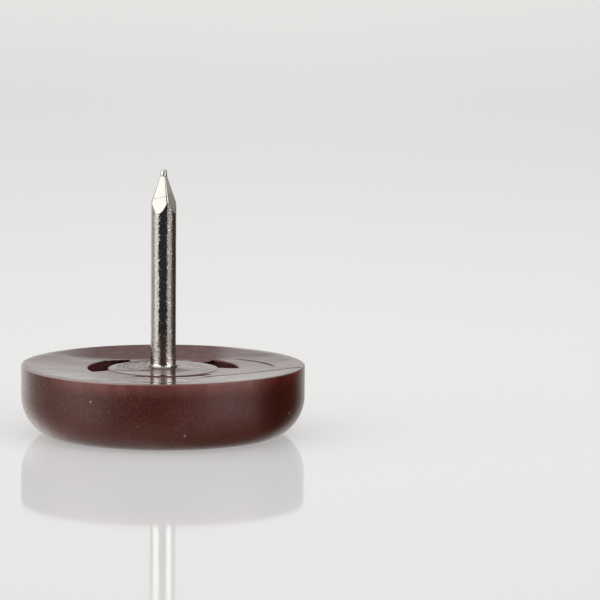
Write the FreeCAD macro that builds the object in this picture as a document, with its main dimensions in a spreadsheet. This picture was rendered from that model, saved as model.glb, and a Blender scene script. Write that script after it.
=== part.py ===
import FreeCAD, Part
import Sketcher
import math
import os

# Nail on furniture glide: a plastic disc moulded round the head of a steel nail.
# Millimetres. The origin is on the floor, on the nail's axis, and +Z points up the nail.

SLOT_COUNT = 3
FACET_COUNT = 4

DRIVING_SIZES = [
    ("disc_diameter", "24.0", "disc across the straight part of its wall"),
    ("disc_height", "5.9", "floor to the rim"),
    ("corner_radius", "2.18", "bottom round where it leaves the floor"),
    ("corner_ease", "0.54", "how much further in than that radius the round runs"),
    ("corner_stretch", "0.56", "how much higher than wide the whole round is"),
    ("rim_edge", "0.12", "rounding of the rim's outer edge"),
    ("seat_width", "0.5", "flat ring that bears on the furniture leg"),
    ("dish_depth", "0.48", "hollow of the top, rim to middle"),
    ("sole_width", "1.7", "flat ring that stands on the floor"),
    ("sole_depth", "0.18", "hollow of the underside inside that ring"),
    ("slot_radius", "5.54", "middle line of the three curved slots"),
    ("slot_width", "1.68", "slot across"),
    ("slot_depth", "1.9", "slot floor below the rim"),
    ("slot_turn", "42.0", "direction of the first slot"),
    ("rib_width", "4.0", "straight rib between one slot and the next"),
    ("hub_rise", "0.24", "middle of the hub inside the slots, over the bottom of the dish"),
    ("nail_diameter", "2.15", "nail shank"),
    ("nail_rise", "16.5", "tip above the rim"),
    ("nib_width", "0.46", "blunt end of the point, across its flats"),
    ("nib_height", "0.55", "blunt end of the point, upwards"),
    ("point_length", "3.05", "sloping part of the point"),
    ("facet_turn", "66.7", "direction of the first of the point's four sides"),
    ("foot_flare", "0.14", "how far the nail's foot spreads where it enters the plastic"),
    ("foot_height", "0.34", "height of that spread over the hub"),
    ("head_diameter", "5.6", "nail head inside the disc"),
    ("head_thickness", "1.0", "nail head inside the disc"),
    ("neck_spread", "0.6", "how much wider the neck is at the head than at the foot"),
    ("head_cover", "1.3", "plastic between the floor and the nail head"),
]

DERIVED_SIZES = [
    ("disc_radius", "=disc_diameter / 2"),
    ("corner_reach", "=corner_radius + corner_ease"),
    ("wall_start", "=corner_reach + corner_stretch"),
    ("wall_end", "=disc_height - rim_edge"),
    ("sole_outer", "=disc_radius - corner_reach"),
    ("sole_inner", "=sole_outer - sole_width"),
    ("seat_outer", "=disc_radius - rim_edge"),
    ("seat_inner", "=seat_outer - seat_width"),
    ("dish_round", "=(seat_inner ^ 2 + dish_depth ^ 2) / (2 * dish_depth)"),
    ("dish_middle", "=disc_height - dish_depth"),
    ("slot_inner", "=slot_radius - slot_width / 2"),
    ("slot_outer", "=slot_radius + slot_width / 2"),
    ("slot_inner_angle", f"=180 / {SLOT_COUNT} - asin(rib_width / 2 / slot_inner) / 1 deg"),
    ("slot_outer_angle", f"=180 / {SLOT_COUNT} - asin(rib_width / 2 / slot_outer) / 1 deg"),
    ("slot_inner_along", "=slot_inner * cos(slot_inner_angle * 1 deg)"),
    ("slot_inner_across", "=slot_inner * sin(slot_inner_angle * 1 deg)"),
    ("slot_outer_along", "=slot_outer * cos(slot_outer_angle * 1 deg)"),
    ("slot_outer_across", "=slot_outer * sin(slot_outer_angle * 1 deg)"),
    ("nail_radius", "=nail_diameter / 2"),
    ("hub_top", "=dish_middle + hub_rise"),
    ("foot_radius", "=nail_radius + foot_flare"),
    ("foot_top", "=hub_top + foot_height"),
    ("head_radius", "=head_diameter / 2"),
    ("head_top", "=head_cover + head_thickness"),
    ("neck_radius", "=foot_radius + neck_spread / 2"),
    ("nail_tip", "=disc_height + nail_rise"),
    ("nib_half", "=nib_width / 2"),
    ("nib_base", "=nail_tip - nib_height"),
    ("facet_reach", "=nail_diameter"),
    ("facet_end", "=nib_base - point_length * (facet_reach - nib_half) / (nail_radius - nib_half)"),
    ("facet_top", "=nail_tip + nib_height"),
]

START, END, CENTRE = 1, 2, 3
FLOOR_LINE, AXIS_LINE, ORIGIN_POINT = -1, -2, (-1, 1)

doc = FreeCAD.newDocument("nail_on_glide")
sheet = doc.addObject("Spreadsheet::Sheet", "Sizes")


def fill_sheet():
    rows = DRIVING_SIZES + [(alias, formula, "") for alias, formula in DERIVED_SIZES]
    for row, (alias, content, note) in enumerate(rows, 1):
        sheet.set(f"A{row}", alias)
        sheet.set(f"B{row}", content)
        sheet.set(f"C{row}", note)
        sheet.setAlias(f"B{row}", alias)
    doc.recompute()


def size(alias):
    """The present value of one named size, or zero for the axis and the floor, given as None."""
    return float(getattr(sheet, alias)) if alias else 0.0


def point(along, up):
    return FreeCAD.Vector(size(along), size(up), 0)


def new_body(label):
    body = doc.addObject("PartDesign::Body", label)
    body.Label = label
    body.Placement = FreeCAD.Placement()
    return body


def origin_item(body, role):
    return next(item for item in body.Origin.OriginFeatures if item.Role == role)


def new_sketch(body, name, role, turn=None, lift=None):
    """A sketch on one of the body's own planes, turned about +Z or lifted by named sizes."""
    sketch = body.newObject("Sketcher::SketchObject", name)
    sketch.AttachmentSupport = [(origin_item(body, role), "")]
    sketch.MapMode = "FlatFace"
    if turn:
        up = FreeCAD.Vector(0, 0, 1) if role == "XY_Plane" else FreeCAD.Vector(0, 1, 0)
        sketch.AttachmentOffset = FreeCAD.Placement(FreeCAD.Vector(), FreeCAD.Rotation(up, size(turn)))
        sketch.setExpression(".AttachmentOffset.Rotation.Angle", f"Sizes.{turn} * 1 deg")
    if lift:
        sketch.setExpression(".AttachmentOffset.Base.z", f"Sizes.{lift} * 1 mm")
    return sketch


def bind(sketch, kind, places, alias):
    """A dimension in the sketch that follows one named size."""
    index = sketch.addConstraint(Sketcher.Constraint(kind, *places, size(alias)))
    sketch.setExpression(f"Constraints[{index}]", f"Sizes.{alias} * 1 mm")


def link(sketch, kind, *places):
    sketch.addConstraint(Sketcher.Constraint(kind, *places))


def place_along(sketch, edge, end, alias):
    """Fix one end of an edge by its distance from the axis."""
    if alias:
        bind(sketch, "DistanceX", (*ORIGIN_POINT, edge, end), alias)
    else:
        link(sketch, "PointOnObject", edge, end, AXIS_LINE)


def place_up(sketch, edge, end, alias):
    """Fix one end of an edge by its height over the floor."""
    if alias:
        bind(sketch, "DistanceY", (*ORIGIN_POINT, edge, end), alias)
    else:
        link(sketch, "PointOnObject", edge, end, FLOOR_LINE)


def add_line(sketch, first, second):
    return sketch.addGeometry(Part.LineSegment(first, second), False)


def add_arc(sketch, centre, first, second):
    """An arc that runs counter-clockwise from the first point to the second."""
    out, back = first - centre, second - centre
    circle = Part.Circle(centre, FreeCAD.Vector(0, 0, 1), out.Length)
    arc = Part.ArcOfCircle(circle, math.atan2(out.y, out.x), math.atan2(back.y, back.x))
    return sketch.addGeometry(arc, False)


def draw_polygon(sketch, corners):
    """A closed outline of straight edges through corners named by their sizes."""
    following = corners[1:] + corners[:1]
    edges = [add_line(sketch, point(*a), point(*b)) for a, b in zip(corners, following)]
    for edge, after in zip(edges, edges[1:] + edges[:1]):
        link(sketch, "Coincident", edge, END, after, START)
    for edge, (along, up) in zip(edges, corners):
        place_along(sketch, edge, START, along)
        place_up(sketch, edge, START, up)


def draw_disc_profile(sketch):
    """Half section of the disc, before the nail's pocket and the slots are cut."""
    dish_centre = FreeCAD.Vector(0, size("dish_middle") + size("dish_round"), 0)
    sole_round = (size("sole_inner") ** 2 + size("sole_depth") ** 2) / (2 * size("sole_depth"))
    sole_centre = FreeCAD.Vector(0, size("sole_depth") - sole_round, 0)
    corner_centre = point("sole_outer", "corner_radius")
    climb = size("wall_start") - size("corner_radius")
    ease = size("corner_ease")
    wall_round = (climb ** 2 + size("corner_reach") ** 2 - size("corner_radius") ** 2) / (2 * ease)
    wall_centre = FreeCAD.Vector(size("disc_radius") - wall_round, size("wall_start"), 0)
    round_meet = corner_centre + (corner_centre - wall_centre).normalize() * size("corner_radius")
    dish_bottom = math.sqrt(size("dish_round") ** 2 - size("slot_inner") ** 2)
    hub_edge = dish_centre + FreeCAD.Vector(size("slot_inner"), -dish_bottom, 0)

    sole_dish = add_arc(sketch, sole_centre, point("sole_inner", None), point(None, "sole_depth"))
    sole = add_line(sketch, point("sole_inner", None), point("sole_outer", None))
    corner = add_arc(sketch, corner_centre, point("sole_outer", None), round_meet)
    flank = add_arc(sketch, wall_centre, round_meet, point("disc_radius", "wall_start"))
    wall = add_line(sketch, point("disc_radius", "wall_start"), point("disc_radius", "wall_end"))
    edge = add_arc(sketch, point("seat_outer", "wall_end"), point("disc_radius", "wall_end"),
                   point("seat_outer", "disc_height"))
    seat = add_line(sketch, point("seat_outer", "disc_height"), point("seat_inner", "disc_height"))
    dish = add_arc(sketch, dish_centre, hub_edge, point("seat_inner", "disc_height"))
    hub = add_line(sketch, hub_edge, point("foot_radius", "hub_top"))
    top = add_line(sketch, point("foot_radius", "hub_top"), point(None, "hub_top"))
    axis = add_line(sketch, point(None, "hub_top"), point(None, "sole_depth"))

    link(sketch, "Coincident", axis, END, sole_dish, END)
    link(sketch, "Coincident", sole_dish, START, sole, START)
    for before, after in ((sole, corner), (corner, flank), (flank, wall), (wall, edge), (edge, seat)):
        link(sketch, "Tangent", before, END, after, START)
    link(sketch, "Coincident", seat, END, dish, END)
    link(sketch, "Coincident", dish, START, hub, START)
    link(sketch, "Coincident", hub, END, top, START)
    link(sketch, "Coincident", top, END, axis, START)

    place_along(sketch, sole_dish, CENTRE, None)
    place_along(sketch, sole_dish, END, None)
    place_up(sketch, sole_dish, END, "sole_depth")
    place_along(sketch, sole, START, "sole_inner")
    place_up(sketch, sole, START, None)
    link(sketch, "Horizontal", sole)
    place_along(sketch, sole, END, "sole_outer")
    bind(sketch, "Radius", (corner,), "corner_radius")
    place_along(sketch, wall, START, "disc_radius")
    place_up(sketch, wall, START, "wall_start")
    link(sketch, "Vertical", wall)
    place_up(sketch, wall, END, "wall_end")
    bind(sketch, "Radius", (edge,), "rim_edge")
    link(sketch, "Horizontal", seat)
    place_along(sketch, seat, END, "seat_inner")
    place_along(sketch, dish, CENTRE, None)
    bind(sketch, "Radius", (dish,), "dish_round")
    place_along(sketch, dish, START, "slot_inner")
    place_along(sketch, hub, END, "foot_radius")
    place_up(sketch, hub, END, "hub_top")
    link(sketch, "Horizontal", top)
    place_along(sketch, top, END, None)


def draw_slot(sketch):
    """One slot seen from above: two arcs about the nail's axis, with ends that run along the ribs."""
    arcs = []
    for edge in ("slot_inner", "slot_outer"):
        across = f"{edge}_across"
        right_end = point(f"{edge}_along", across)
        left_end = FreeCAD.Vector(right_end.x, -right_end.y, 0)
        curve = add_arc(sketch, FreeCAD.Vector(), left_end, right_end)
        link(sketch, "Coincident", curve, CENTRE, *ORIGIN_POINT)
        bind(sketch, "Radius", (curve,), edge)
        bind(sketch, "DistanceY", (curve, START, *ORIGIN_POINT), across)
        bind(sketch, "DistanceY", (*ORIGIN_POINT, curve, END), across)
        arcs.append((curve, left_end, right_end))
    (inner, inner_left, inner_right), (outer, outer_left, outer_right) = arcs
    ends = ((START, inner_left, outer_left), (END, inner_right, outer_right))
    for place, near, far in ends:
        rib_side = add_line(sketch, near, far)
        link(sketch, "Coincident", rib_side, START, inner, place)
        link(sketch, "Coincident", rib_side, END, outer, place)


def add_turned(body, kind, name, sketch):
    """A full turn of the sketch about the nail's axis, added or cut away."""
    feature = body.newObject(f"PartDesign::{kind}", name)
    feature.Profile = sketch
    feature.ReferenceAxis = (sketch, ["V_Axis"])
    feature.Angle = 360.0
    return feature


def add_pattern(body, name, features, count):
    """Repeat features evenly about the nail's axis."""
    pattern = body.newObject("PartDesign::PolarPattern", name)
    pattern.Originals = features
    pattern.Axis = (origin_item(body, "Z_Axis"), [""])
    pattern.Angle = 360.0
    pattern.Occurrences = count
    body.Tip = pattern


def expect_cut(body, volume_before, what):
    """Rebuild, make sure that the last feature took material away, and give the new volume."""
    doc.recompute()
    if body.Shape.Volume >= volume_before - 1e-3:
        raise RuntimeError(f"{what} cut nothing")
    return body.Shape.Volume


# Half section of the head and the tapered neck, which the plastic is moulded round.
BURIED_NAIL = [
    (None, "head_cover"),
    ("head_radius", "head_cover"),
    ("head_radius", "head_top"),
    ("neck_radius", "head_top"),
    ("foot_radius", "hub_top"),
]


def make_disc():
    body = new_body("glide_disc")
    profile = new_sketch(body, "disc_profile", "XZ_Plane")
    draw_disc_profile(profile)
    add_turned(body, "Revolution", "disc_turned", profile)
    doc.recompute()
    volume = body.Shape.Volume

    pocket_profile = new_sketch(body, "nail_pocket_profile", "XZ_Plane")
    draw_polygon(pocket_profile, BURIED_NAIL + [(None, "hub_top")])
    add_turned(body, "Groove", "nail_pocket", pocket_profile)
    volume = expect_cut(body, volume, "the nail's pocket")

    slot_outline = new_sketch(body, "slot_outline", "XY_Plane", turn="slot_turn", lift="disc_height")
    draw_slot(slot_outline)
    slot = body.newObject("PartDesign::Pocket", "slot")
    slot.Profile = slot_outline
    slot.setExpression("Length", "Sizes.slot_depth * 1 mm")
    volume = expect_cut(body, volume, "the slot")

    add_pattern(body, "slots", [slot], SLOT_COUNT)
    expect_cut(body, volume, "the other slots")
    return body


def make_nail():
    body = new_body("nail")
    profile = new_sketch(body, "nail_profile", "XZ_Plane")
    shank = [("nail_radius", "foot_top"), ("nail_radius", "nail_tip"), (None, "nail_tip")]
    draw_polygon(profile, BURIED_NAIL + shank)
    add_turned(body, "Revolution", "nail_turned", profile)
    doc.recompute()
    volume = body.Shape.Volume

    facet_profile = new_sketch(body, "facet_profile", "XZ_Plane", turn="facet_turn")
    draw_polygon(facet_profile, [
        ("nib_half", "nib_base"),
        ("facet_reach", "facet_end"),
        ("facet_reach", "facet_top"),
        ("nib_half", "facet_top"),
    ])
    facet = body.newObject("PartDesign::Pocket", "facet")
    facet.Profile = facet_profile
    facet.Type = "ThroughAll"
    facet.Midplane = True
    volume = expect_cut(body, volume, "the point's first side")

    add_pattern(body, "facets", [facet], FACET_COUNT)
    expect_cut(body, volume, "the point's other sides")
    return body


def check_document(bodies):
    for item in doc.Objects:
        if "Invalid" in item.State or "Error" in item.State:
            raise RuntimeError(f"{item.Label} did not build: {item.State}")
    for body in bodies:
        if body.Shape.isNull() or not body.Shape.isValid() or len(body.Shape.Solids) != 1:
            raise RuntimeError(f"{body.Label} is not one valid solid")


def write_parts(bodies):
    os.makedirs("parts", exist_ok=True)
    for body in bodies:
        body.Shape.exportStep(f"parts/{body.Label}.step")
        box = body.Shape.optimalBoundingBox(False)
        print(body.Label, "volume", round(body.Shape.Volume, 2), "mm3, box",
              round(box.XLength, 3), round(box.YLength, 3), round(box.ZLength, 3))


fill_sheet()
pieces = [make_disc(), make_nail()]
check_document(pieces)
write_parts(pieces)
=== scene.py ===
"""Looks of the nail on furniture glide: its two pieces, their materials, the floor, the light, the camera."""

import math

import bmesh
import bpy
from mathutils import Matrix, Vector


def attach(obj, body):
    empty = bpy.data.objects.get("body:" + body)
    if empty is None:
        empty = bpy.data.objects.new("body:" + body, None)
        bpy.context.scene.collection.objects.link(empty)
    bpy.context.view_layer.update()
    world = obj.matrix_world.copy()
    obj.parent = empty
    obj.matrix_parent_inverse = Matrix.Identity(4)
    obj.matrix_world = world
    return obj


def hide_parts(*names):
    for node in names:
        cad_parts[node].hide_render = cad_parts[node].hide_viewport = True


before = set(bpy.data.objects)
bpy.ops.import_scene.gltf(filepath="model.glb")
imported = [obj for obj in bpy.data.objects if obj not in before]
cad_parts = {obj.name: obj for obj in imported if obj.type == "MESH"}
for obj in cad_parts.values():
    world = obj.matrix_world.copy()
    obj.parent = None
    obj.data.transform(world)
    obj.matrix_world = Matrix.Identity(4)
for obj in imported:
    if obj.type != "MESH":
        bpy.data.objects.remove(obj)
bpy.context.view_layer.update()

MM = 0.001

# Sizes of the disc, in millimetres and degrees, as the part's source has them.
DISC_RADIUS = 12.0
DISC_HEIGHT = 5.9
CORNER_RADIUS = 2.18
CORNER_EASE = 0.54
CORNER_STRETCH = 0.56
RIM_EDGE = 0.12
SEAT_WIDTH = 0.5
DISH_DEPTH = 0.48
SOLE_WIDTH = 1.7
SOLE_DEPTH = 0.18
SLOT_RADIUS = 5.54
SLOT_WIDTH = 1.68
SLOT_DEPTH = 1.9
SLOT_TURN = 42.0
SLOT_COUNT = 3
RIB_WIDTH = 4.0
HUB_RISE = 0.24

# Sizes of the nail.
NAIL_RADIUS = 1.075
NAIL_RISE = 16.5
NIB_HALF = 0.23
NIB_HEIGHT = 0.55
POINT_LENGTH = 3.05
FACET_TURN = 66.7
FOOT_FLARE = 0.14
FOOT_HEIGHT = 0.34
HEAD_RADIUS = 2.8
HEAD_THICKNESS = 1.0
NECK_SPREAD = 0.6
HEAD_COVER = 1.3

# Fine forms that only show here: rounded edges, the hub's swell, lip and fine groove,
# and the ring round the nail's foot.
SLOT_EDGE_ROUND = 0.09
SLOT_FLOOR_ROUND = 0.12
SLOT_DRAFT = 0.05
HUB_LIP = 0.04
HUB_LIP_WIDTH = 1.3
HUB_GROOVE_DEPTH = 0.03
HUB_GROOVE_WIDTH = 0.25
HUB_SWELL = 2.9
FOOT_GROOVE_RADIUS = 1.36
FOOT_GROOVE_WIDTH = 0.07
FOOT_GROOVE_DEPTH = 0.01
FOOT_CURVE = 2.0
RIDGE_ROUND = 0.28
NIB_ROUND = 0.8

# The nib's rings, as share of its height, share of its half width, and how round its corners are.
NIB_RINGS = [
    (0.10, 1.06, 0.45),
    (0.22, 1.14, NIB_ROUND),
    (0.60, 1.08, NIB_ROUND),
    (0.90, 1.02, NIB_ROUND),
    (1.0, 0.86, NIB_ROUND),
    (1.0, 0.0, NIB_ROUND),
]

# Thin skins of plastic left over the slots: slot, first and last direction in degrees from the slot's
# middle, and the skin's inner radius at each; directions past a slot's end stop there.
FLASHES = [
    (0, 6.0, 60.0, 4.5, 4.5),
    (1, -60.0, -18.0, 5.65, 6.5),
    (2, -60.0, 60.0, 5.5, 5.5),
]
FLASH_THICKNESS = 0.1
FLASH_LIFT = 0.004
FLASH_LEAST_WIDTH = 0.01
FLASH_TAPER = 12

# Waves of a skin's inner edge, as size and pace along the skin, and of its ends, as degrees, pace and start.
FLASH_EDGE_WAVES = [(0.05, 23), (0.03, 61)]
FLASH_END_WAVES = [(1.1, 4.3, 0.0), (0.3, 17.0, 1.0)]

# Heights and radii that follow from the sizes.
SEAT_INNER = DISC_RADIUS - RIM_EDGE - SEAT_WIDTH
DISH_CURVE = (SEAT_INNER ** 2 + DISH_DEPTH ** 2) / (2 * DISH_DEPTH)
DISH_MIDDLE = DISC_HEIGHT - DISH_DEPTH
SLOT_SPACING = 360 / SLOT_COUNT
SLOT_INNER = SLOT_RADIUS - SLOT_WIDTH / 2
SLOT_OUTER = SLOT_RADIUS + SLOT_WIDTH / 2
SLOT_FLOOR = DISC_HEIGHT - SLOT_DEPTH
HUB_EDGE = SLOT_INNER - SLOT_EDGE_ROUND
DISH_EDGE = SLOT_OUTER + SLOT_EDGE_ROUND
HUB_TOP = DISH_MIDDLE + HUB_RISE
FOOT_RADIUS = NAIL_RADIUS + FOOT_FLARE
FOOT_TOP = HUB_TOP + FOOT_HEIGHT
NECK_RADIUS = FOOT_RADIUS + NECK_SPREAD / 2
HEAD_TOP = HEAD_COVER + HEAD_THICKNESS
NAIL_TIP = DISC_HEIGHT + NAIL_RISE
NIB_BASE = NAIL_TIP - NIB_HEIGHT
CORNER_REACH = CORNER_RADIUS + CORNER_EASE
SOLE_OUTER = DISC_RADIUS - CORNER_REACH
SOLE_INNER = SOLE_OUTER - SOLE_WIDTH

# How finely the disc is divided.
SLOT_STEPS = 72
RIB_STEPS = 48
RIB_LENGTH_STEPS = 12
GROOVE_STEPS = 6
ROUND_STEPS = 4
SLOT_WALL_STEPS = 6
SLOT_FLOOR_STEPS = 4
DISH_STEPS = 16
SEAT_STEPS = 3
RIM_STEPS = 5
WALL_STEPS = 8
CORNER_STEPS = 14
SOLE_STEPS = 5
HOLLOW_STEPS = 24
HUB_STEPS = 16
FOOT_RING_STEPS = 14
FLASH_STEPS = 60
FLASH_WIDTH_STEPS = 14

# How finely the nail is divided: its flat sides up to a direction in degrees from their middle, its ridges
# between two directions, and its foot, shank and point along their length. The round shank ends a little
# under the point's sides.
SIDE_END = 30
SIDE_STEPS = 6
RIDGE_START = 32
RIDGE_END = 44
RIDGE_STEPS = 12
FOOT_STEPS = 12
SHANK_STEPS = 10
POINT_STEPS = 14
SHANK_GAP = 0.2

# Points closer than this, in millimetres, are joined. Edges that turn by more degrees than these stay
# sharp.
JOIN_DISTANCE = 0.0004
DISC_SHARP = 40
NAIL_SHARP = 11


class Shell:
    """Points and faces of one piece, in millimetres."""

    def __init__(self):
        self.points = []
        self.faces = []

    def add_grid(self, rows, closed):
        """Adds four-sided faces between neighbouring rows; a closed row joins its last point to its first."""
        start = len(self.points)
        across = len(rows[0])
        for row in rows:
            self.points.extend(row)
        spans = across if closed else across - 1
        for upper in range(len(rows) - 1):
            for left in range(spans):
                right = (left + 1) % across
                near = start + upper * across
                far = near + across
                self.faces.append((near + left, near + right, far + right, far + left))

    def make_object(self, name, sharp_angle):
        """Joins the points that meet and returns the piece as a smooth object, in metres."""
        mesh = bpy.data.meshes.new(name)
        mesh.from_pydata(self.points, [], self.faces)
        work = bmesh.new()
        work.from_mesh(mesh)
        bmesh.ops.remove_doubles(work, verts=work.verts, dist=JOIN_DISTANCE)
        bmesh.ops.dissolve_degenerate(work, edges=work.edges, dist=JOIN_DISTANCE / 4)
        bmesh.ops.recalc_face_normals(work, faces=work.faces)
        bmesh.ops.scale(work, verts=work.verts, vec=(MM, MM, MM))
        for face in work.faces:
            face.smooth = True
        for edge in work.edges:
            edge.smooth = not edge.is_manifold or edge.calc_face_angle() < math.radians(sharp_angle)
        work.to_mesh(mesh)
        work.free()
        piece = bpy.data.objects.new(name, mesh)
        bpy.context.scene.collection.objects.link(piece)
        return piece


def polar(radius, degrees, height):
    """Point at a distance from the nail's axis, in a direction, at a height."""
    angle = math.radians(degrees)
    return (radius * math.cos(angle), radius * math.sin(angle), height)


def ramp(start, end, steps):
    """Evenly spaced values from start to end, with both ends."""
    return [start + (end - start) * i / steps for i in range(steps + 1)]


def arc(centre, radius, start, end, steps):
    """Points (radius, height) along an arc of a profile, between two directions in degrees."""
    turned = [math.radians(a) for a in ramp(start, end, steps)]
    return [(centre[0] + radius * math.cos(a), centre[1] + radius * math.sin(a)) for a in turned]


def dish_height(radius):
    """Height of the hollow top at a distance from the nail's axis."""
    return DISH_MIDDLE + DISH_CURVE - math.sqrt(DISH_CURVE ** 2 - radius ** 2)


def top_height(radius):
    """Height of the disc's top: the hub inside the slots, a fine groove, and the dish outside them."""
    if radius > HUB_EDGE:
        lip = HUB_LIP * max(0.0, 1 - (radius - HUB_EDGE) / HUB_LIP_WIDTH) ** 2
        across = min(1.0, (radius - HUB_EDGE) / HUB_GROOVE_WIDTH)
        return dish_height(radius) + lip - HUB_GROOVE_DEPTH * math.sin(math.pi * across)
    flat = dish_height(HUB_EDGE) + HUB_LIP
    swell = max(0.0, (HUB_SWELL - radius) / (HUB_SWELL - FOOT_RADIUS))
    groove = FOOT_GROOVE_DEPTH * math.exp(-((radius - FOOT_GROOVE_RADIUS) / FOOT_GROOVE_WIDTH) ** 2)
    return flat + (HUB_TOP - flat) * swell ** 2 - groove


def slot_half_angle(radius, growth):
    """Half the angle that a slot takes at a distance from the axis; growth moves its ends into the ribs."""
    return SLOT_SPACING / 2 - math.degrees(math.asin((RIB_WIDTH / 2 - growth) / radius))


def rib_radii(inner, outer):
    """Distances from the axis along a rib, closer together at the hub's fine groove."""
    groove_end = inner + min(HUB_GROOVE_WIDTH, (outer - inner) / 4)
    return ramp(inner, groove_end, GROOVE_STEPS) + ramp(groove_end, outer, RIB_LENGTH_STEPS)[1:]


def slot_loop(growth):
    """Outline of a slot, grown on all sides, as (degrees from its middle, radius), once round."""
    inner = SLOT_INNER - growth
    outer = SLOT_OUTER + growth
    inner_half = slot_half_angle(inner, growth)
    outer_half = slot_half_angle(outer, growth)
    side = [(slot_half_angle(r, growth), r) for r in rib_radii(inner, outer)[1:-1]]
    loop = [(a, inner) for a in ramp(-inner_half, inner_half, SLOT_STEPS)]
    loop += side
    loop += [(a, outer) for a in ramp(outer_half, -outer_half, SLOT_STEPS)]
    loop += [(-a, r) for a, r in reversed(side)]
    return loop


def slot_rows(turn):
    """Rows of points from a slot's upper edge over its round, down its wall and over its floor."""
    edge_heights = [top_height(r) for _, r in slot_loop(SLOT_EDGE_ROUND)]
    wall_foot = SLOT_FLOOR + SLOT_FLOOR_ROUND
    rows = []

    def add_row(growth, heights):
        rows.append([polar(r, turn + a, z) for (a, r), z in zip(slot_loop(growth), heights)])

    for angle in ramp(0, math.pi / 2, ROUND_STEPS):
        drop = SLOT_EDGE_ROUND * (1 - math.cos(angle))
        add_row(SLOT_EDGE_ROUND * (1 - math.sin(angle)), [z - drop for z in edge_heights])
    wall_top = [z - SLOT_EDGE_ROUND for z in edge_heights]
    for share in ramp(0, 1, SLOT_WALL_STEPS)[1:]:
        add_row(-SLOT_DRAFT * share, [z + (wall_foot - z) * share for z in wall_top])
    for angle in ramp(0, math.pi / 2, ROUND_STEPS)[1:]:
        inset = SLOT_DRAFT + SLOT_FLOOR_ROUND * (1 - math.cos(angle))
        height = wall_foot - SLOT_FLOOR_ROUND * math.sin(angle)
        add_row(-inset, [height] * len(edge_heights))
    for inset in ramp(SLOT_DRAFT + SLOT_FLOOR_ROUND, SLOT_WIDTH / 2, SLOT_FLOOR_STEPS)[1:]:
        add_row(-inset, [SLOT_FLOOR] * len(edge_heights))
    return rows


def rib_rows(turn):
    """Rows of points over the rib that follows a slot."""
    rows = []
    for radius in rib_radii(HUB_EDGE, DISH_EDGE):
        half = slot_half_angle(radius, SLOT_EDGE_ROUND)
        across = ramp(half, SLOT_SPACING - half, RIB_STEPS)
        rows.append([polar(radius, turn + a, top_height(radius)) for a in across])
    return rows


def ring_angles(radius):
    """Directions of a closed ring's points, which match the slots' and the ribs' ends at a distance."""
    half = slot_half_angle(radius, SLOT_EDGE_ROUND)
    angles = []
    for slot in range(SLOT_COUNT):
        turn = SLOT_TURN + slot * SLOT_SPACING
        angles += [turn + a for a in ramp(-half, half, SLOT_STEPS)]
        angles += [turn + a for a in ramp(half, SLOT_SPACING - half, RIB_STEPS)[1:-1]]
    return angles


def outer_profile():
    """Profile (radius, height) from the slots' outer edge over rim and wall to the middle of the sole."""
    rise = CORNER_REACH + CORNER_STRETCH
    climb = rise - CORNER_RADIUS
    wide_radius = (climb ** 2 + CORNER_REACH ** 2 - CORNER_RADIUS ** 2) / (2 * CORNER_EASE)
    wide_centre = (DISC_RADIUS - wide_radius, rise)
    tight_centre = (SOLE_OUTER, CORNER_RADIUS)
    meet = math.degrees(math.atan2(tight_centre[1] - wide_centre[1], tight_centre[0] - wide_centre[0]))
    rim_centre = (DISC_RADIUS - RIM_EDGE, DISC_HEIGHT - RIM_EDGE)
    hollow_curve = (SOLE_INNER ** 2 + SOLE_DEPTH ** 2) / (2 * SOLE_DEPTH)
    hollow_drop = hollow_curve - SOLE_DEPTH
    hollow = ramp(SOLE_INNER, 0, HOLLOW_STEPS)[1:]

    profile = [(r, dish_height(r)) for r in ramp(DISH_EDGE, SEAT_INNER, DISH_STEPS)]
    profile += [(r, DISC_HEIGHT) for r in ramp(SEAT_INNER, rim_centre[0], SEAT_STEPS)[1:]]
    profile += arc(rim_centre, RIM_EDGE, 90, 0, RIM_STEPS)[1:]
    profile += [(DISC_RADIUS, z) for z in ramp(rim_centre[1], rise, WALL_STEPS)[1:]]
    profile += arc(wide_centre, wide_radius, 0, meet, CORNER_STEPS)[1:]
    profile += arc(tight_centre, CORNER_RADIUS, meet, -90, CORNER_STEPS)[1:]
    profile += [(r, 0.0) for r in ramp(SOLE_OUTER, SOLE_INNER, SOLE_STEPS)[1:]]
    profile += [(r, math.sqrt(hollow_curve ** 2 - r ** 2) - hollow_drop) for r in hollow]
    return profile


def inner_profile():
    """Profile (radius, height) from the slots' inner edge over the hub and down round the nail's head."""
    near_foot = FOOT_GROOVE_RADIUS + 3 * FOOT_GROOVE_WIDTH
    hub_radii = ramp(HUB_EDGE, near_foot, HUB_STEPS) + ramp(near_foot, FOOT_RADIUS, FOOT_RING_STEPS)[1:]
    profile = [(r, top_height(r)) for r in hub_radii]
    profile += [(NECK_RADIUS, HEAD_TOP), (HEAD_RADIUS, HEAD_TOP)]
    profile += [(HEAD_RADIUS, HEAD_COVER), (0.0, HEAD_COVER)]
    return profile


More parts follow.
